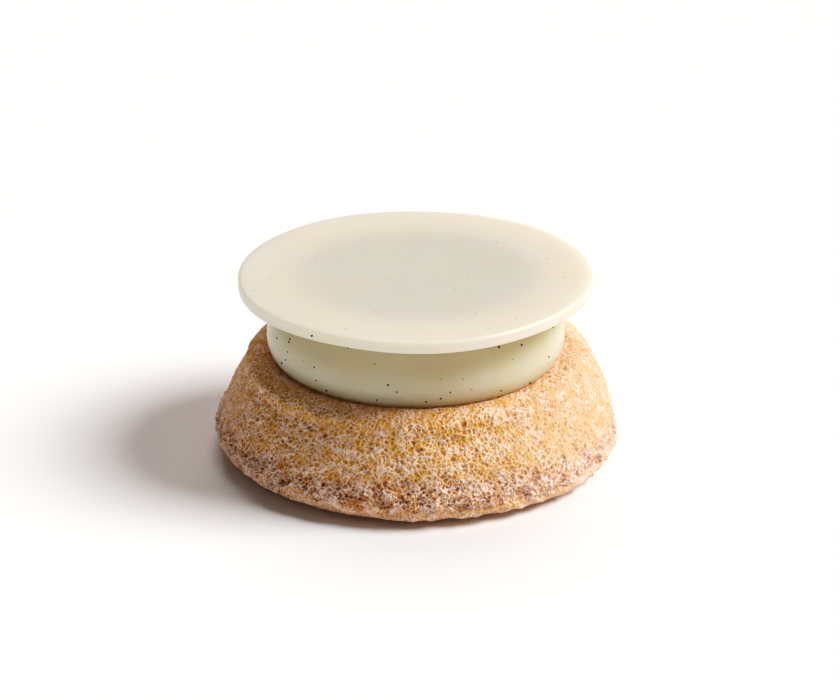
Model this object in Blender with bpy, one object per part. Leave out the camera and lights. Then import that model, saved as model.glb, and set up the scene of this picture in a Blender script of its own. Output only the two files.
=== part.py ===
"""Open cream puff: a crusty choux bun, a moulded vanilla cream puck set in its top, and a thin cream disc on that.

Three solids stand on the plane z = 0 with the bun's base centred on the origin. +Z is up and -Y is the front.
The bun is a turned profile whose rings lean a little to +X, with the crags of its baked crust as relief. The
puck sits in a shallow seat in the bun, and the disc overhangs the puck all round.
"""

import math

import bmesh
import bpy
import numpy as np
from mathutils import Vector, noise

MM = 0.001

# Whole object, heights above the table.
BASE_RADIUS = 31.0
BELLY_RADIUS = 38.0
BELLY_HEIGHT = 5.2
SHOULDER_RADIUS = 32.3
SHOULDER_HEIGHT = 18.35
BUN_TOP = 19.4
PUCK_RADIUS = 27.95
PUCK_BOTTOM = 17.7
PUCK_FOOT = 5.3
PUCK_SHOULDER = 10.0
DISC_RADIUS = 33.1
DISC_THICKNESS = 2.18
DISC_UPPER_EDGE = 0.6
DISC_LOWER_EDGE = 0.3
TOTAL_HEIGHT = 34.97
TOUCHING_GAP = 0.3
LIP_ANGLE = -47.0

# How far the bun is from a perfect turning.
LEAN_AT_FOOT = 1.4
LEAN_AT_TOP = 0.5
LEAN_REACH = 3.5
SADDLE = 0.37
SWELL_HEIGHT, SWELL_WIDTH = 0.35, 19.0
LUMP_HEIGHT, LUMP_WIDTH = 0.30, 8.0
CRAG_HEIGHT, CRAG_WIDTH = 0.34, 4.6
FLAKY_BAND = 8.5
FLAKY_GAIN = 1.9
RELIEF_SEED = Vector((11.3, 4.7, 29.1))

# How far the disc is from flat at its rim: waves round it, their height, and degrees from +X to a crest.
DISC_WAVES = ((1, 0.16, 0), (2, 0.17, -3), (3, 0.06, 3), (4, 0.06, -34), (5, 0.07, 33), (6, 0.05, 0))

BUN_STEPS = 150
PUCK_STEPS = 72
DISC_STEPS = 96
BUN_SPACING = 1.45
PUCK_SPACING = 1.9
RIM_SPACING = 0.32
FACE_SPACING = 9.0

BUN_COLOUR = (0.56, 0.25, 0.06, 1.0)
PUCK_COLOUR = (0.74, 0.62, 0.36, 1.0)
DISC_COLOUR = (0.80, 0.74, 0.60, 1.0)


def clear_scene():
    """Removes every object, so that the model starts from nothing."""
    for obj in list(bpy.data.objects):
        bpy.data.objects.remove(obj, do_unlink=True)


def catmull_rom(stations, spacing):
    """Points along a smooth curve through the stations, about one spacing apart."""
    points = [np.array(p, float) for p in stations]
    ends = [2 * points[0] - points[1]] + points + [2 * points[-1] - points[-2]]
    curve = []
    for before, start, end, after in zip(ends, ends[1:], ends[2:], ends[3:]):
        count = max(1, round(float(np.linalg.norm(end - start)) / spacing))
        for step in range(count):
            t = step / count
            curve.append(
                0.5
                * (
                    2 * start
                    + (end - before) * t
                    + (2 * before - 5 * start + 4 * end - after) * t**2
                    + (3 * start - before - 3 * end + after) * t**3
                )
            )
    return curve + [points[-1]]


def straight(start, end, spacing):
    """Points from start up to but not including end, about one spacing apart."""
    start, end = np.array(start, float), np.array(end, float)
    count = max(1, round(float(np.linalg.norm(end - start)) / spacing))
    return [start + (end - start) * step / count for step in range(count)]


def arc(centre, radius, first, last, spacing):
    """Points on a circular arc in the (radius, height) plane, angles in degrees from outward."""
    count = max(2, math.ceil(math.radians(abs(last - first)) * radius / spacing))
    angles = np.radians(np.linspace(first, last, count + 1))
    return [
        np.array((centre[0] + radius * math.cos(a), centre[1] + radius * math.sin(a))) for a in angles
    ]


def turned_solid(name, profile, steps):
    """One closed body: the (radius, height) profile, from axis to axis, spun about Z."""
    bm = bmesh.new()
    chain = [bm.verts.new((radius * MM, 0.0, height * MM)) for radius, height in profile]
    edges = [bm.edges.new(pair) for pair in zip(chain, chain[1:])]
    bmesh.ops.spin(
        bm,
        geom=chain + edges,
        cent=(0, 0, 0),
        axis=(0, 0, 1),
        angle=math.tau,
        steps=steps,
        use_merge=True,
    )
    bmesh.ops.remove_doubles(bm, verts=bm.verts, dist=0.01 * MM)
    bmesh.ops.recalc_face_normals(bm, faces=bm.faces)
    mesh = bpy.data.meshes.new(name)
    bm.to_mesh(mesh)
    bm.free()
    mesh.shade_smooth()
    obj = bpy.data.objects.new(name, mesh)
    bpy.context.collection.objects.link(obj)
    return obj


def reshape(obj, move):
    """Moves every vertex by move(place, normal), which returns its new place, both in millimetres."""
    mesh = obj.data
    normals = [vertex.normal.copy() for vertex in mesh.vertices]
    for vertex, normal in zip(mesh.vertices, normals):
        vertex.co = move(vertex.co / MM, normal) * MM
    mesh.update()


def ease(value, low, high):
    """0 below low, 1 above high and a smooth rise between."""
    t = min(max((value - low) / (high - low), 0.0), 1.0)
    return t * t * (3 - 2 * t)


def dress(obj, colour, roughness):
    """Gives the solid its own Principled material."""
    material = bpy.data.materials.new(obj.name)
    material.use_nodes = True
    shader = material.node_tree.nodes["Principled BSDF"]
    shader.inputs["Base Color"].default_value = colour
    shader.inputs["Roughness"].default_value = roughness
    shader.inputs["Metallic"].default_value = 0.0
    obj.data.materials.append(material)


def undulation(x, y):
    """How far the disc lies above flat at (x, y): a touch higher to +X, bent up to both sides, wavy at the rim."""
    reach = math.hypot(x, y) / DISC_RADIUS
    angle = math.atan2(y, x)
    return sum(
        height * reach**count * math.cos(count * (angle - math.radians(crest)))
        for count, height, crest in DISC_WAVES
    )


def crust_relief(place):
    """Height of the baked crust over the turned form: broad swells, lumps and sharp-edged crags."""
    swell = SWELL_HEIGHT * noise.noise(place / SWELL_WIDTH + RELIEF_SEED)
    lump = LUMP_HEIGHT * noise.noise(place / LUMP_WIDTH - RELIEF_SEED)
    flat_place = Vector((place.x, place.y, place.z * 1.5))
    ridge = 0.5 - abs(noise.noise(flat_place / CRAG_WIDTH + RELIEF_SEED)) * 2
    flaky = 1 + (FLAKY_GAIN - 1) * (1 - ease(place.z, FLAKY_BAND - 4, FLAKY_BAND + 2))
    return swell + lump + CRAG_HEIGHT * flaky * ridge


def bun_move(place, normal):
    """Leans the rings of the bun, saddles its top and raises the crust. The seat and the base stay true."""
    radius = math.hypot(place.x, place.y)
    angle = math.atan2(place.y, place.x)
    outside = ease(radius, PUCK_RADIUS - 0.5, PUCK_RADIUS + 2.0)
    most = LEAN_AT_TOP if place.z > BELLY_HEIGHT else LEAN_AT_FOOT
    lean = most * (1 - math.exp(-(((place.z - BELLY_HEIGHT) / LEAN_REACH) ** 2)))
    saddle = SADDLE * (place.z / BUN_TOP) ** 2 * math.cos(2 * angle)
    off_table = ease(place.z, 0.1, 2.4)
    relief = crust_relief(place) * outside * off_table
    moved = place + normal * relief + Vector((lean, 0, saddle)) * outside
    moved.z = max(moved.z, 0.0)
    return moved


def foot_centre():
    """Centre of the rounded foot of the puck, in the (radius, height) plane, as high as its waist."""
    return np.array((PUCK_RADIUS - PUCK_FOOT, PUCK_BOTTOM + PUCK_FOOT))


def choux_bun():
    """The baked bun: flat base, rolled-under belly, long flank, round shoulder and the seat for the puck."""
    floor = PUCK_BOTTOM - TOUCHING_GAP
    seat = arc(foot_centre(), PUCK_FOOT + TOUCHING_GAP, LIP_ANGLE, -90, BUN_SPACING)
    flank = [
        (BASE_RADIUS, 0.0),
        (BASE_RADIUS + 3.2, 0.55),
        (BELLY_RADIUS - 1.5, 1.75),
        (BELLY_RADIUS - 0.3, 3.5),
        (BELLY_RADIUS, BELLY_HEIGHT),
        (BELLY_RADIUS - 1.4, 8.9),
        (BELLY_RADIUS - 2.8, 12.4),
        (SHOULDER_RADIUS + 0.95, 15.9),
        (SHOULDER_RADIUS, SHOULDER_HEIGHT),
        (SHOULDER_RADIUS - 2.1, BUN_TOP),
        (PUCK_RADIUS + 0.2, BUN_TOP - 0.1),
        tuple(seat[0]),
    ]
    profile = straight((0, 0), (BASE_RADIUS, 0), BASE_RADIUS)
    profile += catmull_rom(flank, BUN_SPACING)[:-1]
    profile += seat + [(0.0, floor)]
    bun = turned_solid("choux_bun", profile, BUN_STEPS)
    reshape(bun, bun_move)
    dress(bun, BUN_COLOUR, 0.75)
    return bun


def cream_puck():
    """The moulded cream: a pebble with a tight foot and a slacker shoulder, flat below and under the disc."""
    top = TOTAL_HEIGHT - DISC_THICKNESS - TOUCHING_GAP
    waist = foot_centre()[1]
    shoulder = (PUCK_RADIUS - PUCK_SHOULDER, waist)
    rise = math.degrees(math.asin((top - waist) / PUCK_SHOULDER))
    profile = [(0.0, PUCK_BOTTOM)]
    profile += arc(foot_centre(), PUCK_FOOT, -90, 0, PUCK_SPACING)[:-1]
    profile += arc(shoulder, PUCK_SHOULDER, 0, rise, PUCK_SPACING)
    profile += straight(profile[-1], (0, top), FACE_SPACING)[1:]
    profile += [(0.0, top)]
    puck = turned_solid("cream_puck", profile, PUCK_STEPS)

    def follow_disc(place, _normal):
        share = ease(place.z, PUCK_BOTTOM + 4, top - 1)
        return place + Vector((0, 0, undulation(place.x, place.y) * share))

    reshape(puck, follow_disc)
    dress(puck, PUCK_COLOUR, 0.35)
    return puck


def cream_disc():
    """The thin set-cream disc: softened upper edge, crisp lower edge, gently wavy."""
    bottom = TOTAL_HEIGHT - DISC_THICKNESS
    lower = (DISC_RADIUS - DISC_LOWER_EDGE, bottom + DISC_LOWER_EDGE)
    upper = (DISC_RADIUS - DISC_UPPER_EDGE, TOTAL_HEIGHT - DISC_UPPER_EDGE)
    profile = straight((0, bottom), (lower[0], bottom), FACE_SPACING)
    profile += arc(lower, DISC_LOWER_EDGE, -90, 0, RIM_SPACING)
    profile += arc(upper, DISC_UPPER_EDGE, 0, 90, RIM_SPACING)
    profile += straight((upper[0] - FACE_SPACING, TOTAL_HEIGHT), (0, TOTAL_HEIGHT), FACE_SPACING)
    profile += [(0.0, TOTAL_HEIGHT)]
    disc = turned_solid("cream_disc", profile, DISC_STEPS)

    def bend(place, _normal):
        return place + Vector((0, 0, undulation(place.x, place.y)))

    reshape(disc, bend)
    dress(disc, DISC_COLOUR, 0.4)
    return disc


clear_scene()
choux_bun()
cream_puck()
cream_disc()
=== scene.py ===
"""Looks of an open cream puff: a crumbly baked bun, a moulded vanilla cream puck in it and a thin cream disc on top.

Sizes are in millimetres with the pastry standing on z = 0, until a mesh is made in metres. -Y is the front.
"""

import logging
import math
from collections.abc import Iterable
from dataclasses import dataclass, field
from enum import Enum
from itertools import product
from typing import Any

import bpy
import numpy as np
from mathutils import Matrix, Vector, noise
from mathutils.bvhtree import BVHTree


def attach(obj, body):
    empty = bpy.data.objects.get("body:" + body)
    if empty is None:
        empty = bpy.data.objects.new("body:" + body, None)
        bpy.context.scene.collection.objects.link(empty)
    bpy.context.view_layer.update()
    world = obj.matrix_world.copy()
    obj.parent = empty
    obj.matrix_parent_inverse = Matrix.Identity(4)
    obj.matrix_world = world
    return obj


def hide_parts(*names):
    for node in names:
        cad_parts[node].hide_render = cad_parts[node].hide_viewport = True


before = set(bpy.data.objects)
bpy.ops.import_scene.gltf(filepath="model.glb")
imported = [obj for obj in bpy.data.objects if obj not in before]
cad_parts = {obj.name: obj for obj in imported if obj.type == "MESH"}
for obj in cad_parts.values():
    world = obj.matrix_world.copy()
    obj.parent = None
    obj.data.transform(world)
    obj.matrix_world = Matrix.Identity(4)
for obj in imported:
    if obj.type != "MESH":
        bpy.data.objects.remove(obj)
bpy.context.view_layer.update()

MM = 0.001
PHOTO_WIDTH, PHOTO_HEIGHT = 840, 700
ROOT = "root"

log = logging.getLogger("cream_puff")

Array = np.ndarray
Place = tuple[float, float]


class Slot(Enum):
    """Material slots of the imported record."""

    CRUST = "choux_crust"
    CREAM = "vanilla_cream"
    SET_CREAM = "set_cream"


def linear(colour: str) -> tuple[float, float, float, float]:
    """Turns an sRGB hex colour into the linear values that a shader takes.

    Args:
        colour: Six hex digits, red first, with or without a leading hash.

    Returns:
        Linear red, green and blue, and an alpha of 1.
    """
    digits = colour.lstrip("#")
    parts = [int(digits[i : i + 2], 16) / 255 for i in (0, 2, 4)]
    curve = [p / 12.92 if p <= 0.04045 else ((p + 0.055) / 1.055) ** 2.4 for p in parts]
    return (*curve, 1.0)


def ease(value: Array, low: float, high: float) -> Array:
    """0 below low, 1 above high and a smooth rise between."""
    t = np.clip((value - low) / (high - low), 0.0, 1.0)
    return t * t * (3 - 2 * t)


def hashed(cells: Array, seed: int) -> Array:
    """Gives each lattice cell a repeatable random number.

    Args:
        cells: Whole-number lattice places, one row each.
        seed: Picks one of many independent sets of numbers.

    Returns:
        One number from 0 to 1 for each row.
    """
    primes = np.array((73856093, 19349663, 83492791), np.int64)
    mixed = cells.astype(np.int64) @ primes + seed * 2654435761
    mixed = (mixed & 0xFFFFFFFF).astype(np.uint32)
    for shift, factor in ((16, 0x7FEB352D), (15, 0x846CA68B)):
        mixed ^= mixed >> np.uint32(shift)
        mixed *= np.uint32(factor)
    mixed ^= mixed >> np.uint32(16)
    return mixed / 2.0**32


def gradient_noise(places: Array, width: float, seed: int) -> Array:
    """Smooth random field over space.

    Args:
        places: Points, one row each, in millimetres.
        width: Size of one swell of the field, in millimetres.
        seed: Picks one of many independent fields.

    Returns:
        One value for each point, mostly from -1 to 1 and 0 on average.
    """
    scaled = places / width
    corner = np.floor(scaled)
    inside = scaled - corner
    fade = inside**3 * (inside * (inside * 6 - 15) + 10)
    total = np.zeros(len(places))
    for offset in product((0, 1), repeat=3):
        cell = corner + offset
        slope = np.stack([hashed(cell, seed + axis) for axis in range(3)], 1) * 2 - 1
        weight = np.prod(np.where(offset, fade, 1 - fade), axis=1)
        total += weight * ((inside - offset) * slope).sum(1)
    return total * 1.6


def pore_noise(places: Array, width: float, seed: int) -> tuple[Array, Array, Array]:
    """Random foam: space divided into cells round scattered centres.

    Args:
        places: Points, one row each, in millimetres.
        width: Average distance between cell centres, in millimetres.
        seed: Picks one of many independent foams.

    Returns:
        For each point the distance to its cell's centre, how much further the next centre is, both as
        shares of width, and the random number from 0 to 1 of its cell.
    """
    scaled = places / width
    home = np.floor(scaled)
    nearest = np.full(len(places), 9.0)
    second = np.full(len(places), 9.0)
    number = np.zeros(len(places))
    for offset in product((-1, 0, 1), repeat=3):
        cell = home + offset
        centre = cell + np.stack([hashed(cell, seed + axis) for axis in range(3)], 1)
        distance = np.linalg.norm(centre - scaled, axis=1)
        closer = distance < nearest
        second = np.where(closer, nearest, np.minimum(second, distance))
        number = np.where(closer, hashed(cell, seed + 3), number)
        nearest = np.where(closer, distance, nearest)
    return nearest, second - nearest, number


def catmull_rom(stations: Iterable[Place], spacing: float) -> Array:
    """Smooth curve through the stations of a profile.

    Args:
        stations: (radius, height) points that the curve passes through.
        spacing: Distance between the curve's points, in millimetres.

    Returns:
        The curve's points, one row each, from the first station to the last.
    """
    points = np.array(list(stations), float)
    ends = np.vstack([2 * points[0] - points[1], points, 2 * points[-1] - points[-2]])
    pieces = []
    for before, start, end, after in zip(ends, ends[1:], ends[2:], ends[3:]):
        count = max(1, round(float(np.linalg.norm(end - start)) / spacing))
        t = (np.arange(count) / count)[:, None]
        pieces.append(
            0.5
            * (
                2 * start
                + (end - before) * t
                + (2 * before - 5 * start + 4 * end - after) * t**2
                + (3 * start - before - 3 * end + after) * t**3
            )
        )
    return np.vstack(pieces + [points[-1:]])


def arc(centre: Place, radius: float, first: float, last: float, spacing: float) -> Array:
    """Points on a circular arc in the (radius, height) plane.

    Args:
        centre: Centre of the arc.
        radius: Radius of the arc, in millimetres.
        first: Angle of the first point in degrees, 0 being outward and 90 up.
        last: Angle of the last point in degrees.
        spacing: Distance between points, in millimetres.

    Returns:
        The points, one row each.
    """
    count = max(2, math.ceil(math.radians(abs(last - first)) * radius / spacing))
    angles = np.radians(np.linspace(first, last, count + 1))
    return np.array(centre) + radius * np.stack([np.cos(angles), np.sin(angles)], 1)


def straight(start: Place, end: Place, spacing: float) -> Array:
    """Points from start up to but not including end, about one spacing apart."""
    start_point, end_point = np.array(start, float), np.array(end, float)
    count = max(1, round(float(np.linalg.norm(end_point - start_point)) / spacing))
    return start_point + (end_point - start_point) * (np.arange(count) / count)[:, None]


@dataclass
class Turning:
    """A form turned about Z, as rings of points that can be moved before the mesh is made.

    Attributes:
        profile: (radius, height) of each ring, from the lowest to the last, neither end on the axis.
        steps: Points round each ring.
        heart: Height of the point on the axis where pieces of the form meet.
    """

    profile: Array
    steps: int
    heart: float = 2.0

    def places(self) -> Array:
        """Points of the plain form, one row each, ring after ring."""
        radius, height = self.profile.T
        angle = np.arange(self.steps) / self.steps * math.tau
        x = radius[:, None] * np.cos(angle)
        y = radius[:, None] * np.sin(angle)
        z = np.repeat(height[:, None], self.steps, 1)
        return np.stack([x, y, z], 2).reshape(-1, 3)

    def outward(self, places: Array) -> Array:
        """Outward direction at each point of the form, wherever its points have been moved to.

        Args:
            places: The form's points, one row each, ring after ring.

        Returns:
            One unit vector for each point.
        """
        grid = places.reshape(len(self.profile), self.steps, 3)
        along = np.gradient(grid, axis=0)
        round_ring = np.roll(grid, -1, axis=1) - np.roll(grid, 1, axis=1)
        normal = np.cross(round_ring, along)
        length = np.linalg.norm(normal, axis=2, keepdims=True)
        return (normal / np.maximum(length, 1e-9)).reshape(-1, 3)

    def solids(self, names: tuple[str, ...], places: Array, values: dict[str, Array]) -> list[bpy.types.Object]:
        """Makes closed meshes of runs of rings that meet face to face and are shaded as one surface.

        Args:
            names: Name of each piece, from the first rings to the last.
            places: The form's points, one row each, ring after ring, in millimetres.
            values: Numbers for each point that the material reads, by name.

        Returns:
            The new objects, in the scene.
        """
        normals = self.outward(places)
        cuts = np.linspace(0, len(self.profile) - 1, len(names) + 1).round().astype(int).tolist()
        pieces = []
        for name, first, last in zip(names, cuts, cuts[1:]):
            kept = slice(first * self.steps, (last + 1) * self.steps)
            own = places[kept]
            ends = np.array([own[: self.steps].mean(0), own[-self.steps :].mean(0)])
            if first > 0:
                ends[0] = (0, 0, self.heart)
            if last < len(self.profile) - 1:
                ends[1] = (0, 0, self.heart)
            index = np.arange(len(own)).reshape(-1, self.steps)
            ahead = np.roll(index, -1, axis=1)
            quads = np.stack([index[:-1], ahead[:-1], ahead[1:], index[1:]], 2).reshape(-1, 4)
            under = np.stack([np.full(self.steps, len(own)), ahead[0], index[0]], 1)
            over = np.stack([np.full(self.steps, len(own) + 1), index[-1], ahead[-1]], 1)
            piece = smooth_mesh(name, np.vstack([own, ends]), quads, np.vstack([under, over]))
            poles = np.array([(0.0, 0.0, -1.0), (0.0, 0.0, 1.0)])
            piece.data.normals_split_custom_set_from_vertices(np.vstack([normals[kept], poles]))
            for key, value in values.items():
                paint(piece, key, np.append(value[kept], (value[kept][0], value[kept][-1])))
            pieces.append(piece)
        return pieces


def smooth_mesh(name: str, places: Array, quads: Array, triangles: Array | None = None) -> bpy.types.Object:
    """Makes a smooth-shaded mesh object.

    Args:
        name: Name of the piece.
        places: Vertices in millimetres, one row each.
        quads: Corner numbers of the faces with four corners, one row each.
        triangles: Corner numbers of the faces with three corners, if there are any.

    Returns:
        The new object, in the scene.
    """
    groups = [quads] if triangles is None else [quads, triangles]
    corners = np.concatenate([group.ravel() for group in groups])
    sides = np.concatenate([np.full(len(group), group.shape[1]) for group in groups])
    mesh = bpy.data.meshes.new(name)
    mesh.vertices.add(len(places))
    mesh.vertices.foreach_set("co", (places * MM).ravel())
    mesh.loops.add(len(corners))
    mesh.loops.foreach_set("vertex_index", corners.astype(np.int32))
    mesh.polygons.add(len(sides))
    mesh.polygons.foreach_set("loop_start", np.append(0, np.cumsum(sides)[:-1]).astype(np.int32))
    mesh.update(calc_edges=True)
    mesh.shade_smooth()
    piece = bpy.data.objects.new(name, mesh)
    bpy.context.scene.collection.objects.link(piece)
    return piece


def paint(piece: bpy.types.Object, name: str, values: Array) -> None:
    """Stores one number for each vertex of the piece, for its material to read."""
    attribute = piece.data.attributes.new(name, "FLOAT", "POINT")
    attribute.data.foreach_set("value", values.astype(np.float32))


def place_in_frame(piece: bpy.types.Object, node: str | None = None) -> None:
    """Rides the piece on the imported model.

    Args:
        piece: The finished piece.
        node: Node that it stands for, if any.
    """
    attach(piece, ROOT)
    if node:
        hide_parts(node)
    log.info("%s: %d faces", piece.name, len(piece.data.polygons))


def add(
    tree: bpy.types.NodeTree,
    kind: str,
    settings: dict[str, Any] | None = None,
    inputs: dict[str | int, Any] | None = None,
) -> bpy.types.Node:
    """Adds one node with its settings and links.

    Args:
        tree: Node tree of the material.
        kind: Blender's name of the node's kind, without ShaderNode in front.
        settings: Values of the node's own properties.
        inputs: For each input, by name or number, an output to link or a value to set.

    Returns:
        The new node.
    """
    node = tree.nodes.new("ShaderNode" + kind)
    for key, value in (settings or {}).items():
        setattr(node, key, value)
    for key, value in (inputs or {}).items():
        if isinstance(value, bpy.types.NodeSocket):
            tree.links.new(value, node.inputs[key])
        else:
            node.inputs[key].default_value = value
    return node


def ramp(node: bpy.types.Node, stops: Iterable[tuple[float, str]]) -> bpy.types.Node:
    """Sets the stops of a colour ramp node, each a position and an sRGB hex colour."""
    band = node.color_ramp
    wanted = list(stops)
    while len(band.elements) < len(wanted):
        band.elements.new(0.5)
    for element, (position, colour) in zip(band.elements, wanted):
        element.position = position
        element.color = linear(colour)
    return node


def new_material(name: str) -> tuple[bpy.types.Material, bpy.types.Node]:
    """Makes a node material with an empty Principled shader.

    Args:
        name: Name of the material.

    Returns:
        The material and its Principled node.
    """
    material = bpy.data.materials.new(name)
    material.use_nodes = True
    return material, material.node_tree.nodes["Principled BSDF"]


@dataclass(frozen=True)
class BakedCrust:
    """Baked choux crumb with a sugary crust: dry and sandy, browned by the oven.

    The thin walls of the crumb dry out pale, and their pale strokes over the amber are partly painted highlight, with
    near-white painted glints on them. The hollows keep the deep amber of caramel and are painted darker the
    deeper they go, as painted shade in the pores; the side towards the key light is painted paler, as painted light.
    """

    amber: str = "#df9a12"
    # The brown and the deep pore colour darken the hollows with their depth: painted shade in the pores.
    brown: str = "#b5640a"
    deep_pore_shade: str = "#4f1f03"
    skin: str = "#dc9c66"
    # The pale wall colour is partly the crumb's own pale crest and partly painted highlight.
    wall: str = "#ffe0cf"
    # Colour of the painted glints, and the size of the cells they are drawn in.
    glint_white: str = "#fffaf4"
    glint_cell_mm: float = 0.34
    mottle_mm: float = 2.4
    relief_mm: float = 0.05
    roughness: float = 0.6
    specular: float = 0.3

    def material(self) -> bpy.types.Material:
        """Builds the crust from what the mesh carries: depth, pale lace (partly painted highlight), foot skin and the
        painted lit side.
        """
        made, shader = new_material("baked_choux_crust")
        tree = made.node_tree
        place = add(tree, "TexCoord").outputs["Object"]

        def carried(name: str) -> bpy.types.NodeSocket:
            return add(tree, "Attribute", {"attribute_name": name}).outputs["Fac"]

        def blend(factor: Any, low: Any, high: Any) -> bpy.types.NodeSocket:
            return add(tree, "Mix", {"data_type": "RGBA"}, {"Factor": factor, 6: low, 7: high}).outputs[2]

        def spread(value: Any, low: float, high: float, start: float = 0.0, end: float = 1.0) -> bpy.types.NodeSocket:
            inputs = {"Value": value, "From Min": low, "From Max": high, "To Min": start, "To Max": end}
            return add(tree, "MapRange", inputs=inputs).outputs["Result"]

        def times(first: Any, second: Any) -> bpy.types.NodeSocket:
            return add(tree, "Math", {"operation": "MULTIPLY"}, {0: first, 1: second}).outputs["Value"]

        depth = carried("crumb_depth")
        lace = carried("crumb_lace")
        glint_cells = add(
            tree, "TexVoronoi", {"feature": "F1"}, {"Vector": place, "Scale": 1 / (self.glint_cell_mm * MM)}
        )
        mottle = add(
            tree,
            "TexNoise",
            inputs={"Vector": place, "Scale": 1 / (self.mottle_mm * MM), "Detail": 4.0, "Roughness": 0.65},
        ).outputs["Fac"]
        deep = add(tree, "Math", {"operation": "ADD"}, {0: depth, 1: spread(mottle, 0.35, 0.65, 0.14, -0.10)})
        # The colour darkens with the pore depth: painted shade in the pores.
        hollow = ramp(
            add(tree, "ValToRGB", inputs={"Fac": deep.outputs["Value"]}),
            ((0.18, self.amber), (0.6, self.brown), (0.95, self.deep_pore_shade)),
        ).outputs["Color"]
        skinned = blend(times(carried("foot_skin"), 0.75), hollow, linear(self.skin))
        # Paler on the side towards the key light: painted light.
        pale = times(carried("painted_lit_side"), spread(mottle, 0.35, 0.65, 0.45, 1.0))
        covered = add(tree, "Math", {"operation": "MAXIMUM"}, {0: spread(lace, 0.12, 0.85), 1: pale})
        # The pale lace is partly the crumb's own pale walls and partly painted highlight.
        walled = blend(covered.outputs["Value"], skinned, linear(self.wall))
        # Painted glints: near-white specks blended into the colour on the walls, also raised a little by the bump.
        pick = spread(glint_cells.outputs["Color"], 0.60, 0.66)
        glint = times(times(pick, spread(glint_cells.outputs["Distance"], 0.45, 0.25)), spread(lace, 0.1, 0.6, 0.1, 0.9))
        with_painted_glints = blend(glint, walled, linear(self.glint_white))
        bump = add(tree, "Bump", inputs={"Height": glint, "Distance": self.relief_mm * MM})
        tree.links.new(with_painted_glints, shader.inputs["Base Color"])
        tree.links.new(bump.outputs["Normal"], shader.inputs["Normal"])
        shader.inputs["Roughness"].default_value = self.roughness
        shader.inputs["Specular IOR Level"].default_value = self.specular
        return made


@dataclass(frozen=True)
class MouldedCream:
    """Vanilla cream set in a smooth silicone mould and turned out.

    Its skin is close and a little wet, so it keeps a soft sheen, and light goes some millimetres into the
    fat and milk, which warms the shaded side.
    """

    light: str = "#ded3b4"
    warm: str = "#dbcda8"
    roughness: float = 0.32
    glow_mm: float = 16.0
    cloud_mm: float = 9.0

    def material(self) -> bpy.types.Material:
        """Builds the cream with slow warm and cool clouds in it."""
        made, shader = new_material("moulded_vanilla_cream")
        tree = made.node_tree
        place = add(tree, "TexCoord").outputs["Object"]
        cloud = add(
            tree,
            "TexNoise",
            inputs={"Vector": place, "Scale": 1 / (self.cloud_mm * MM), "Detail": 2.0},
        )
        tone = ramp(
            add(tree, "ValToRGB", inputs={"Fac": cloud.outputs["Fac"]}),
            ((0.3, self.light), (0.7, self.warm)),
        )
        tree.links.new(tone.outputs["Color"], shader.inputs["Base Color"])
        shader.inputs["Roughness"].default_value = self.roughness
        shader.inputs["Subsurface Weight"].default_value = 1.0
        shader.inputs["Subsurface Radius"].default_value = (1.0, 0.72, 0.33)
        shader.inputs["Subsurface Scale"].default_value = self.glow_mm * MM
        return made


@dataclass(frozen=True)
class SetCream:
    """White cream disc, poured thin, set and cut.

    It is paler and tighter than the puck, with a satin face, and its faint flecks are seeds that lie just
    below the skin.
    """

    light: str = "#d9d1c0"
    warm: str = "#dbd0b8"
    roughness: float = 0.38
    glow_mm: float = 9.0
    cloud_mm: float = 12.0

    def material(self) -> bpy.types.Material:
        """Builds the disc with slow warm and cool clouds in it."""
        made, shader = new_material("set_cream_disc")
        tree = made.node_tree
        place = add(tree, "TexCoord").outputs["Object"]
        cloud = add(
            tree,
            "TexNoise",
            inputs={"Vector": place, "Scale": 1 / (self.cloud_mm * MM), "Detail": 3.0},
        )
        tone = ramp(
            add(tree, "ValToRGB", inputs={"Fac": cloud.outputs["Fac"]}),
            ((0.3, self.light), (0.7, self.warm)),
        )
        tree.links.new(tone.outputs["Color"], shader.inputs["Base Color"])
        shader.inputs["Roughness"].default_value = self.roughness
        shader.inputs["Subsurface Weight"].default_value = 1.0
        shader.inputs["Subsurface Radius"].default_value = (1.0, 0.95, 0.82)
        shader.inputs["Subsurface Scale"].default_value = self.glow_mm * MM
        return made


@dataclass(frozen=True)
class VanillaSeed:
    """Dried vanilla seeds: nearly black and a little oily. Under a film of cream they show as grey-tan flecks.

    Attributes:
        name: What the seed is and how it lies.
        black: Colour of the darker half of the mottle.
        brown: Colour of the lighter half of the mottle.
    """

    name: str = "bare_vanilla_seed"
    black: str = "#171008"
    brown: str = "#2c1d10"
    roughness: float = 0.5
    speck_mm: float = 0.15

    def material(self) -> bpy.types.Material:
        """Builds the seed's skin with a fine mottle."""
        made, shader = new_material(self.name)
        tree = made.node_tree
        place = add(tree, "TexCoord").outputs["Object"]
        speck = add(tree, "TexNoise", inputs={"Vector": place, "Scale": 1 / (self.speck_mm * MM)})
        tone = ramp(
            add(tree, "ValToRGB", inputs={"Fac": speck.outputs["Fac"]}),
            ((0.35, self.black), (0.75, self.brown)),
        )
        tree.links.new(tone.outputs["Color"], shader.inputs["Base Color"])
        shader.inputs["Roughness"].default_value = self.roughness
        return made


@dataclass(frozen=True)
class StudioPaper:
    """Seamless white paper, matt, with no sheen of its own."""

    white: str = "#f4f4f4"
    roughness: float = 0.9

    def material(self) -> bpy.types.Material:
        """Builds the plain paper."""
        made, shader = new_material("studio_paper")
        shader.inputs["Base Color"].default_value = linear(self.white)
        shader.inputs["Roughness"].default_value = self.roughness
        shader.inputs["Specular IOR Level"].default_value = 0.0
        return made


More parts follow.
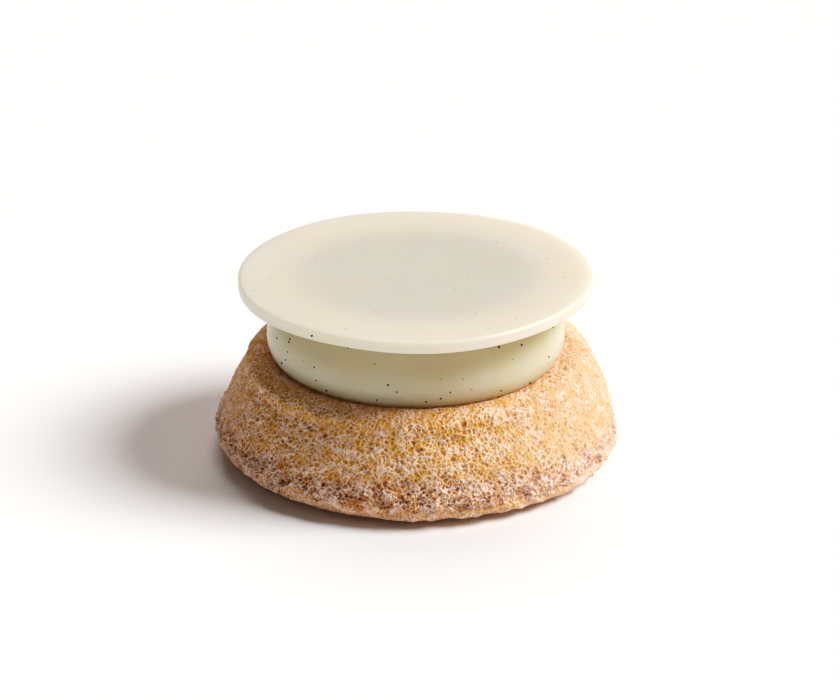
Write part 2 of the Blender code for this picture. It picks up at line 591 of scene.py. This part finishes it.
@dataclass(frozen=True)
class PhotoCamera:
    """Camera at the photograph's viewing angle.

    Attributes:
        distance: From the camera to the point it looks at.
        elevation: Degrees above level.
        aim: Point that it looks at.
        focal_px: Focal length in pixels of the photograph.
    """

    distance: float = 600.0
    elevation: float = 23.2
    aim: tuple[float, float, float] = (0.8, 0.0, 19.2)
    focal_px: float = 3188.0
    sensor: float = 36.0

    def pose(self) -> Matrix:
        """Place and turn of the camera, with its place in millimetres."""
        tilt = math.radians(self.elevation)
        offset = Vector((0, -math.cos(tilt), math.sin(tilt))) * self.distance
        turn = Matrix.Rotation(math.pi / 2 - tilt, 4, "X")
        return Matrix.Translation(Vector(self.aim) + offset) @ turn

    def ray(self, pixel: Place) -> tuple[Vector, Vector]:
        """Start and direction, in millimetres, of the line of sight through a pixel of the photograph."""
        pose = self.pose()
        across = (pixel[0] - PHOTO_WIDTH / 2) / self.focal_px
        up = (PHOTO_HEIGHT / 2 - pixel[1]) / self.focal_px
        way = pose.to_3x3() @ Vector((across, up, -1.0))
        return pose.translation, way.normalized()

    def build(self) -> None:
        """Adds the camera and makes it the scene's."""
        data = bpy.data.cameras.new("photo_camera")
        data.sensor_fit = "HORIZONTAL"
        data.sensor_width = self.sensor
        data.lens = self.focal_px / PHOTO_WIDTH * self.sensor
        data.clip_start, data.clip_end = 0.01, 20.0
        camera = bpy.data.objects.new("photo_camera", data)
        pose = self.pose()
        camera.matrix_world = Matrix.Translation(pose.translation * MM) @ pose.to_3x3().to_4x4()
        bpy.context.scene.collection.objects.link(camera)
        bpy.context.scene.camera = camera


@dataclass(frozen=True)
class Foam:
    """One size of pore in the crumb.

    Attributes:
        width: Distance between pore centres.
        depth: Depth of the deepest pores.
        wall: Width of the walls between pores, as a share of the distance between centres.
        closed: Share of the pores that hardly open.
        seed: Random draw.
        stretch: How much longer pores are along X, Y and Z.
        crest: Width of the dry, pale crest of a wall, as a share of the wall; its pale colour is partly painted
            highlight.
    """

    width: float
    depth: float
    wall: float
    closed: float
    seed: int
    stretch: tuple[float, float, float] = (1.0, 1.0, 1.0)
    crest: float = 0.6

    def hollow(self, places: Array) -> tuple[Array, Array, Array]:
        """Opens the pores.

        Args:
            places: Points in millimetres, one row each.

        Returns:
            For each point its depth in millimetres below the skin, how near it is to the crest of a wall
            from 0 to 1, and the random number from 0 to 1 of its pore.
        """
        _, gap, number = pore_noise(places / np.array(self.stretch), self.width, self.seed)
        wall = np.exp(-((gap / self.wall) ** 2))
        share = ease(number, self.closed - 0.15, self.closed + 0.35)
        crest = np.exp(-((gap / (self.wall * self.crest)) ** 2))
        return self.depth * (1 - wall) * (0.25 + 0.75 * share), crest, number

    def holes(self, places: Array, edge: float) -> Array:
        """Depth in millimetres of the few pores that open as clean round holes.

        Args:
            places: Points in millimetres, one row each.
            edge: Radius of a hole, as a share of the distance between centres.

        Returns:
            The depth at each point.
        """
        centre, _, number = pore_noise(places / np.array(self.stretch), self.width, self.seed)
        return self.depth * (1 - ease(centre, edge * 0.45, edge)) * (number > self.closed)


@dataclass
class ChouxBun:
    """The baked bun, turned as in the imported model, with its crumb opened up.

    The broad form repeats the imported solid: the same stations, lean, saddle and relief. The crumb is cut into
    it, and at the top it runs on under the cream, so that the two touch all round.
    """

    base_radius: float = 31.0
    foot_clearance: float = 0.8
    belly_radius: float = 38.0
    belly_height: float = 5.2
    shoulder_radius: float = 32.3
    shoulder_height: float = 18.35
    top: float = 19.4
    puck_radius: float = 27.95
    lip_radius: float = 24.6
    lip_height: float = 18.75
    seat: float = 17.4
    lean_at_foot: float = 1.4
    lean_at_top: float = 0.5
    lean_reach: float = 3.5
    saddle: float = 0.37
    swell: Place = (0.35, 19.0)
    lump: Place = (0.30, 8.0)
    crag: Place = (0.34, 4.6)
    flaky_band: float = 8.5
    flaky_gain: float = 1.9
    relief_seed: tuple[float, float, float] = (11.3, 4.7, 29.1)
    grid: float = 0.135
    steps: int = 1700
    slices: tuple[str, ...] = ("crust_foot", "crust_skirt", "crust_flank", "crust_shoulder", "crust_crown")
    coarse: Foam = Foam(0.92, 0.20, 0.24, 0.1, 101)
    fine: Foam = Foam(0.56, 0.10, 0.30, 0.1, 505)
    medium: Foam = Foam(1.9, 0.26, 0.40, 0.5, 202)
    pits: Foam = Foam(2.2, 0.7, 0.30, 0.88, 303)
    flakes: Foam = Foam(1.3, 0.42, 0.20, 0.3, 404, (1.0, 1.0, 0.8))
    crust_proud: float = 0.10
    smoothed: float = 0.6
    # How much paler the side towards the key light is painted: painted light.
    painted_lit_side_gain: float = 0.5
    finish: BakedCrust = field(default_factory=BakedCrust)

    def turning(self) -> Turning:
        """Rings of the bun, close together where the crumb shows."""
        flank = [
            (self.base_radius, 0.0),
            (self.base_radius + 3.2, self.foot_clearance),
            (self.belly_radius - 1.5, 1.75),
            (self.belly_radius - 0.3, 3.5),
            (self.belly_radius, self.belly_height),
            (self.belly_radius - 1.4, 8.9),
            (self.belly_radius - 2.8, 12.4),
            (self.shoulder_radius + 0.95, 15.9),
            (self.shoulder_radius, self.shoulder_height),
            (self.shoulder_radius - 2.1, self.top),
            (self.puck_radius + 0.2, self.top - 0.1),
            (self.lip_radius + 1.6, self.lip_height + 0.3),
            (self.lip_radius, self.lip_height),
        ]
        under = straight((2.0, 0.0), (self.base_radius, 0.0), 2.6)
        seat = straight((self.lip_radius - 1.0, self.seat), (20.0, self.seat), 1.8)
        profile = np.vstack([under, catmull_rom(flank, self.grid), seat])
        return Turning(profile, self.steps)

    def packed_relief(self, places: Array) -> Array:
        """Swells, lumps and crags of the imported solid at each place."""
        seed = Vector(self.relief_seed)
        reach = 1 - ease(places[:, 2], self.flaky_band - 4, self.flaky_band + 2)
        flaky = self.smoothed + (self.flaky_gain - self.smoothed) * reach
        heights = np.empty(len(places))
        for i, (x, y, z) in enumerate(places.tolist()):
            place = Vector((x, y, z))
            ridge = 0.5 - abs(noise.noise(Vector((x, y, z * 1.5)) / self.crag[1] + seed)) * 2
            heights[i] = (
                self.swell[0] * noise.noise(place / self.swell[1] + seed)
                + self.lump[0] * noise.noise(place / self.lump[1] - seed)
                + self.crag[0] * flaky[i] * ridge
            )
        return heights

    def broad_form(self, form: Turning) -> Array:
        """Points of the bun with its lean, saddle and crags, and no crumb yet."""
        places = form.places()
        radius = np.hypot(places[:, 0], places[:, 1])
        angle = np.arctan2(places[:, 1], places[:, 0])
        height = places[:, 2]
        outside = ease(radius, self.puck_radius - 0.5, self.puck_radius + 2.0)
        most = np.where(height > self.belly_height, self.lean_at_top, self.lean_at_foot)
        lean = most * (1 - np.exp(-(((height - self.belly_height) / self.lean_reach) ** 2)))
        rise = self.saddle * (height / self.top) ** 2 * np.cos(2 * angle)
        relief = self.packed_relief(places) * outside * ease(height, 0.1, 2.4)
        moved = places + form.outward(places) * relief[:, None]
        moved[:, 0] += lean * outside
        moved[:, 2] += rise * outside
        moved[:, 2] = np.maximum(moved[:, 2], 0.0)
        return moved

    def crumb(self, places: Array) -> tuple[Array, dict[str, Array]]:
        """Crumb of the baked dough at each place.

        Args:
            places: Points of the broad form in millimetres, one row each.

        Returns:
            The crumb's depth below the skin in millimetres, and what the crust's material reads.
        """
        wander = np.stack([gradient_noise(places, 0.9, 40 + 5 * axis) for axis in range(3)], 1)
        warped = places + 0.18 * wander
        density = 0.5 + 0.40 * gradient_noise(places, 2.3, 81) + 0.12 * gradient_noise(places, 7.0, 87)
        facing = places[:, 0] / np.hypot(places[:, 0], places[:, 1])
        height = places[:, 2] + 1.2 * gradient_noise(places, 6.0, 60) + 0.6 * gradient_noise(places, 1.8, 66)
        foot = 1 - ease(height, 2.2, 3.8)
        skirt = ease(height, 2.6, 4.2) * (1 - ease(height, 6.5, 10.5))
        coarse, coarse_wall, _ = self.coarse.hollow(warped)
        fine, fine_wall, _ = self.fine.hollow(warped)
        medium, _, _ = self.medium.hollow(warped)
        flake, _, terrace = self.flakes.hollow(warped)
        pit = self.pits.holes(warped, 0.16)
        torn = (1 - terrace) * self.flakes.depth + 0.5 * flake
        broken = gradient_noise(places, 0.7, 71)
        depth = (coarse + fine) * (1 - 0.5 * foot) + 0.06 * broken + medium * (1 - foot) + torn * skirt + pit
        strokes = np.maximum(coarse_wall * ease(broken, -0.5, 0.1), fine_wall * ease(broken, 0.35, -0.3))
        shown = ease(density, 0.05, 0.8)
        ledges = skirt * ease(terrace, 0.5, 0.8) * ease(broken, -0.4, 0.4)
        values = {
            "crumb_depth": np.clip(depth / 0.95, 0, 1),
            # The lace's pale colour is partly the crumb's own and partly painted highlight.
            "crumb_lace": np.clip(strokes * (0.3 + 0.7 * shown) + 0.5 * ledges, 0, 1),
            "foot_skin": foot,
            # Paler towards +X, the side the key light faces: painted light.
            "painted_lit_side": self.painted_lit_side_gain * ease(facing + 0.12 * gradient_noise(places, 9.0, 93), 0.0, 1.0),
        }
        return depth, values

    def build(self) -> list[bpy.types.Object]:
        """Makes the bun in slices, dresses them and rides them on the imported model."""
        form = self.turning()
        places = self.broad_form(form)
        radius = np.hypot(places[:, 0], places[:, 1])
        depth, values = self.crumb(places)
        above = ease(places[:, 2], 0.02, 0.9)
        beyond = ease(radius, self.lip_radius, self.lip_radius + 0.8)
        shows = np.where(places[:, 2] > self.belly_height, beyond, above)
        moved = places + form.outward(places) * ((self.crust_proud - depth) * shows)[:, None]
        moved[:, 2] = np.maximum(moved[:, 2], 0.0)
        dressing = self.finish.material()
        pieces = form.solids(self.slices, moved, values)
        for piece in pieces:
            piece.data.materials.append(dressing)
            place_in_frame(piece, "choux_bun")
        return pieces


@dataclass
class CreamDisc:
    """The thin set-cream disc on top: softened upper edge, crisp lower edge, gently wavy.

    Attributes:
        waves: Waves round the rim, the height of each, and degrees from +X to a crest.
    """

    radius: float = 33.1
    thickness: float = 2.18
    top: float = 34.97
    upper_edge: float = 0.6
    lower_edge: float = 0.3
    waves: tuple[tuple[int, float, float], ...] = (
        (1, 0.16, 0),
        (2, 0.17, -3),
        (3, 0.06, 3),
        (4, 0.06, -34),
        (5, 0.07, 33),
        (6, 0.05, 0),
    )
    steps: int = 480
    finish: SetCream = field(default_factory=SetCream)

    def lift(self, places: Array) -> Array:
        """How far the disc lies above flat at each place."""
        reach = np.hypot(places[:, 0], places[:, 1]) / self.radius
        angle = np.arctan2(places[:, 1], places[:, 0])
        total = np.zeros(len(places))
        for count, height, crest in self.waves:
            total += height * reach**count * np.cos(count * (angle - math.radians(crest)))
        return total

    def build(self) -> bpy.types.Object:
        """Makes the disc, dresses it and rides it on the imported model."""
        bottom = self.top - self.thickness
        low = (self.radius - self.lower_edge, bottom + self.lower_edge)
        high = (self.radius - self.upper_edge, self.top - self.upper_edge)
        profile = np.vstack(
            [
                straight((3.0, bottom), (low[0], bottom), 2.0),
                arc(low, self.lower_edge, -90, 0, 0.06),
                straight((self.radius, low[1] + 0.2), (self.radius, high[1]), 0.3),
                arc(high, self.upper_edge, 0, 90, 0.08),
                straight((high[0] - 0.3, self.top), (0.6, self.top), 1.0),
            ]
        )
        form = Turning(profile, self.steps)
        places = form.places()
        places[:, 2] += self.lift(places)
        (piece,) = form.solids(("set_cream_disc",), places, {})
        piece.data.materials.append(self.finish.material())
        place_in_frame(piece, "cream_disc")
        return piece


@dataclass
class CreamPuck:
    """The moulded vanilla cream in the bun's seat: a round-walled pebble, flat under the disc."""

    radius: float = 27.95
    waist: float = 23.0
    bottom: float = 17.7
    shoulder: float = 10.0
    grid: float = 0.4
    steps: int = 360
    finish: MouldedCream = field(default_factory=MouldedCream)

    def build(self, disc: CreamDisc) -> bpy.types.Object:
        """Makes the puck up to the disc's underside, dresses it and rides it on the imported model.

        Args:
            disc: The disc that lies on the puck.

        Returns:
            The finished piece.
        """
        top = disc.top - disc.thickness
        foot = self.waist - self.bottom
        rise = math.degrees(math.asin((top - self.waist) / self.shoulder))
        lower = (self.radius - foot, self.waist)
        upper = (self.radius - self.shoulder, self.waist)
        profile = np.vstack(
            [
                straight((2.0, self.bottom), (lower[0], self.bottom), 3.0),
                arc(lower, foot, -90, 0, self.grid)[:-1],
                arc(upper, self.shoulder, 0, rise, self.grid),
            ]
        )
        form = Turning(profile, self.steps)
        places = form.places()
        places[:, 2] += disc.lift(places) * ease(places[:, 2], self.bottom + 4, top - 1)
        (piece,) = form.solids(("vanilla_cream_puck",), places, {})
        piece.data.materials.append(self.finish.material())
        place_in_frame(piece, "cream_puck")
        return piece


@dataclass
class VanillaSeeds:
    """Vanilla seeds in the skin of the cream, where the photograph shows them, and strewn alike round the back.

    Attributes:
        bare: Photograph pixels of the dark seeds.
        veiled: Photograph pixels of the seeds under a film of cream.
        largest: Photograph pixel of the one large seed.
        bare_mm: Least and greatest length of the dark seeds.
        veiled_mm: Least and greatest length of the flecks under the film.
        veiled_height: Height of a fleck, half of which lifts the film.
        sunk: Share of a dark seed's height that lies in the cream.
        behind: Number of dark seeds on the puck where the photograph doesn't look.
    """

    bare: tuple[Place, ...] = (
        (277, 338),
        (290, 339),
        (289, 342),
        (287.4, 352),
        (285.6, 360),
        (282, 363),
        (314.4, 367.3),
        (316.2, 380.3),
        (326.5, 390.3),
        (388, 385),
        (396.7, 392),
        (376.7, 399.8),
        (521.5, 345),
        (548.5, 356.7),
        (450.3, 392.3),
        (440.7, 398.6),
        (426, 401.6),
        (501, 390.6),
        (529.6, 382.9),
        (552.6, 327.2),
        (312, 335.8),
        (348.2, 348),
    )
    veiled: tuple[Place, ...] = (
        (303.4, 360.7),
        (374.7, 364.2),
        (441, 379.3),
        (463, 379),
        (513, 359.4),
        (548.5, 363.6),
        (471.4, 389.4),
        (423.5, 253),
        (407, 260),
        (449, 251),
        (478, 242),
        (497, 242),
        (552, 246),
        (556, 254),
        (547, 258),
        (564, 277),
        (546, 278),
        (468, 278),
        (433, 284),
        (402, 280),
        (387, 279),
        (455, 290),
        (376, 311),
        (387, 318),
        (364, 304),
        (360, 323),
        (322, 318),
        (517, 304.5),
        (475, 313),
        (516, 318),
        (488, 329),
        (346, 329),
        (316, 258),
        (285, 264),
        (254, 290),
        (269, 278),
    )
    largest: Place = (498.6, 347)
    largest_mm: float = 0.62
    bare_mm: Place = (0.38, 0.52)
    veiled_mm: Place = (0.34, 0.6)
    sunk: float = 0.3
    veiled_height: float = 0.04
    behind: int = 34
    seed: int = 11
    bare_finish: VanillaSeed = VanillaSeed()
    veiled_finish: VanillaSeed = VanillaSeed("veiled_vanilla_seed", "#aa9f86", "#b8ab8f", 0.4)

    def build(self, camera: PhotoCamera, puck: bpy.types.Object, disc: bpy.types.Object) -> None:
        """Makes the seeds in two pieces, those bare and those under the film.

        Args:
            camera: The camera that the photograph was taken with.
            puck: The puck with its final shape.
            disc: The disc with its final shape.
        """
        rng = np.random.default_rng(self.seed)
        skins = [self.skin(disc), self.skin(puck)]
        bare = [(*self.seen(camera, pixel, skins), rng.uniform(*self.bare_mm)) for pixel in self.bare]
        bare.append((*self.seen(camera, self.largest, skins), self.largest_mm))
        for _ in range(self.behind):
            angle = rng.uniform(0.02, 0.98) * math.pi
            start = Vector((60 * math.cos(angle), 60 * math.sin(angle), rng.uniform(19.8, 31.5)))
            place, normal, _, _ = skins[1].ray_cast(start, Vector((-math.cos(angle), -math.sin(angle), 0)))
            bare.append((place, normal, rng.uniform(*self.bare_mm)))
        veiled = [(*self.seen(camera, pixel, skins), rng.uniform(*self.veiled_mm)) for pixel in self.veiled]
        self.piece("vanilla_seeds", bare, None, self.bare_finish, rng)
        self.piece("veiled_vanilla_seeds", veiled, self.veiled_height, self.veiled_finish, rng)

    def skin(self, piece: bpy.types.Object) -> BVHTree:
        """Search tree of a piece's surface, in millimetres."""
        mesh = piece.data
        places = [vertex.co / MM for vertex in mesh.vertices]
        return BVHTree.FromPolygons(places, [tuple(polygon.vertices) for polygon in mesh.polygons])

    def seen(self, camera: PhotoCamera, pixel: Place, skins: list[BVHTree]) -> tuple[Vector, Vector]:
        """Place and outward direction on the cream that a pixel of the photograph shows.

        Args:
            camera: The camera that the photograph was taken with.
            pixel: Pixel of the photograph.
            skins: Surfaces that may be in the way, nearest first where they lie one over another.

        Returns:
            The nearest point of a surface on the line of sight, in millimetres, and the surface's normal.
        """
        start, way = camera.ray(pixel)
        hits = [skin.ray_cast(start, way) for skin in skins]
        place, normal, _, _ = min((hit for hit in hits if hit[0]), key=lambda hit: hit[3])
        return place, normal

    def piece(
        self,
        name: str,
        spots: list[tuple[Vector, Vector, float]],
        height: float | None,
        finish: VanillaSeed,
        rng: np.random.Generator,
    ) -> None:
        """Makes one piece of many seeds.

        Args:
            name: Name of the piece.
            spots: Place, outward direction and length of each seed.
            height: Height of the flat seeds, half sunk, or None for round ones that lie in the cream's skin.
            finish: What the seeds look like.
            rng: Source of the random draws.
        """
        rows, columns = 5, 8
        tilt = np.linspace(0, math.pi, rows + 1)[1:-1]
        turn = np.arange(columns) / columns * math.tau
        ring = np.stack(
            [
                np.outer(np.sin(tilt), np.cos(turn)),
                np.outer(np.sin(tilt), np.sin(turn)),
                np.outer(np.cos(tilt), np.ones(columns)),
            ],
            2,
        ).reshape(-1, 3)
        ball = np.vstack([ring, [(0, 0, 1), (0, 0, -1)]])
        index = np.arange(len(ring)).reshape(-1, columns)
        ahead = np.roll(index, -1, axis=1)
        quads = np.stack([index[:-1], index[1:], ahead[1:], ahead[:-1]], 2).reshape(-1, 4)
        over = np.stack([np.full(columns, len(ring)), index[0], ahead[0]], 1)
        under = np.stack([np.full(columns, len(ring) + 1), ahead[-1], index[-1]], 1)
        places, four, three = [], [], []
        for number, (place, normal, length) in enumerate(spots):
            thick = height or length * rng.uniform(0.5, 0.75)
            size = np.array((length, length * rng.uniform(0.62, 0.95), thick)) / 2
            spin = Matrix.Rotation(rng.uniform(0, math.tau), 3, "Z")
            stand = np.array(normal.to_track_quat("Z", "Y").to_matrix() @ spin)
            rise = 0.0 if height else size[2] * (1 - 2 * self.sunk)
            places.append((ball * size) @ stand.T + np.array(place + normal * rise))
            four.append(quads + number * len(ball))
            three.append(np.vstack([over, under]) + number * len(ball))
        made = smooth_mesh(name, np.vstack(places), np.vstack(four), np.vstack(three))
        made.data.materials.append(finish.material())
        place_in_frame(made)


@dataclass(frozen=True)
class Softbox:
    """A soft light, far enough away to light the whole floor alike.

    Attributes:
        name: Name of the light.
        azimuth: Degrees from +X towards +Y, where the light stands.
        elevation: Degrees above level.
        spread: Degrees that the light takes up in the sky, from edge to edge.
        strength: Light on a surface that faces it, in watts a square metre.
        tint: Colour of the light.
    """

    name: str
    azimuth: float
    elevation: float
    spread: float
    strength: float
    tint: str = "#ffffff"

    def build(self) -> None:
        """Adds the light."""
        data = bpy.data.lights.new(self.name, "SUN")
        data.color = linear(self.tint)[:3]
        data.angle = math.radians(self.spread)
        data.energy = self.strength
        lamp = bpy.data.objects.new(self.name, data)
        azimuth, elevation = math.radians(self.azimuth), math.radians(self.elevation)
        way = Vector(
            (
                math.cos(azimuth) * math.cos(elevation),
                math.sin(azimuth) * math.cos(elevation),
                math.sin(elevation),
            )
        )
        lamp.rotation_euler = way.to_track_quat("Z", "Y").to_euler()
        lamp.location = way
        bpy.context.scene.collection.objects.link(lamp)


@dataclass
class Studio:
    """Plain white paper, a soft key light from the right, a softer one from behind and weak white surroundings."""

    floor_size: float = 6000.0
    fill: float = 0.09
    lights: tuple[Softbox, ...] = (
        Softbox("key_softbox", -0.5, 45.8, 30.0, 4.0),
        Softbox("rear_softbox", 92.0, 57.0, 36.0, 1.15, "#fff1eb"),
    )
    print_white: float = 1.14
    print_curve: tuple[Place, ...] = (
        (0.03, 0.02),
        (0.12, 0.105),
        (0.3, 0.3),
        (0.6, 0.6),
        (0.85, 0.79),
        (1.02, 0.92),
    )
    finish: StudioPaper = field(default_factory=StudioPaper)

    def build(self) -> None:
        """Adds the floor, the lights and the surroundings."""
        half = self.floor_size / 2
        corners = np.array([(-half, -half, 0), (half, -half, 0), (half, half, 0), (-half, half, 0)], float)
        floor = smooth_mesh("studio_floor", corners, np.array([(0, 1, 2, 3)]))
        floor.data.materials.append(self.finish.material())
        for light in self.lights:
            light.build()
        world = bpy.data.worlds.new("white_surroundings")
        world.use_nodes = True
        world.node_tree.nodes["Background"].inputs["Color"].default_value = (1.0, 1.0, 1.0, 1.0)
        world.node_tree.nodes["Background"].inputs["Strength"].default_value = self.fill
        bpy.context.scene.world = world
        self.develop()

    def develop(self) -> None:
        """Prints the picture with a photographer's contrast: deeper shades, and lights that round off to white."""
        settings = bpy.context.scene.view_settings
        settings.view_transform = "Standard"
        settings.use_curve_mapping = True
        mapping = settings.curve_mapping
        mapping.white_level = (self.print_white,) * 3
        curve = mapping.curves[3]
        for shade, shown in self.print_curve:
            curve.points.new(shade / self.print_white, shown)
        mapping.update()


def main() -> None:
    """Builds the camera, the studio and every piece of the pastry."""
    logging.basicConfig(level=logging.INFO, format="%(name)s: %(message)s")
    camera = PhotoCamera()
    camera.build()
    Studio().build()
    ChouxBun().build()
    disc = CreamDisc()
    disc_piece = disc.build()
    puck_piece = CreamPuck().build(disc)
    VanillaSeeds().build(camera, puck_piece, disc_piece)


if __name__ == "__main__":
    main()
